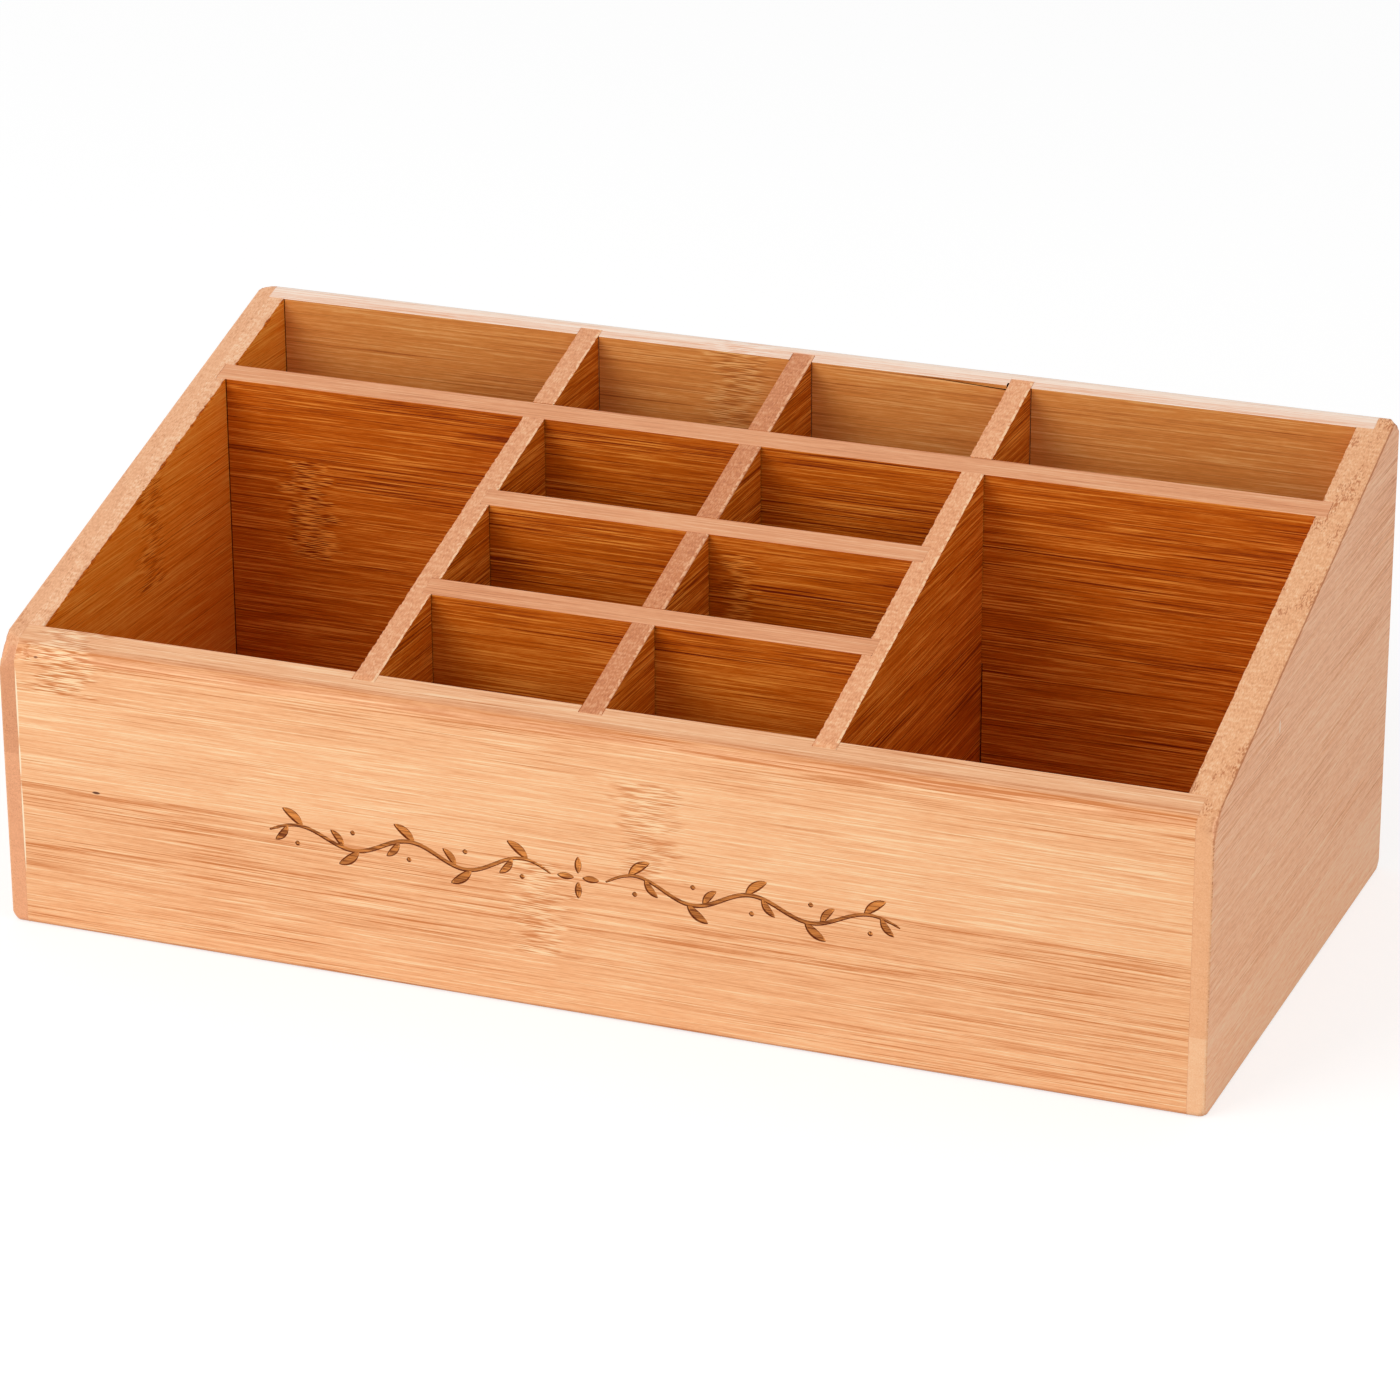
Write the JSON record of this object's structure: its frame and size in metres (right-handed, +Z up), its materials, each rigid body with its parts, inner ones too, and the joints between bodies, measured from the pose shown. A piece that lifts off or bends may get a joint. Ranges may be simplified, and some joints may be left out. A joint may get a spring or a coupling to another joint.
{
  "type": "vanity organizer",
  "caption": "Open tabletop organizer of glued bamboo boards with a rim that slants down to the front and upright compartments of several sizes.",
  "frame": {"origin": "on the surface that the organizer stands on, under the middle of its outer width and depth", "axes": "+X to the organizer's right as seen from the front, +Y from the low front to the high back, +Z up"},
  "size_m": [0.305, 0.153, 0.1196],
  "materials": {
    "bamboo": "satin clear varnish"
  },
  "bodies": {
    "root": {"left_side": "bamboo", "right_side": "bamboo", "front_panel": "bamboo", "back_panel": "bamboo", "bottom_panel": "bamboo", "rear_divider": "bamboo", "left_divider": "bamboo", "centre_divider": "bamboo", "right_divider": "bamboo", "front_cross_divider": "bamboo", "middle_cross_divider": "bamboo"}
  },
  "joints": []
}
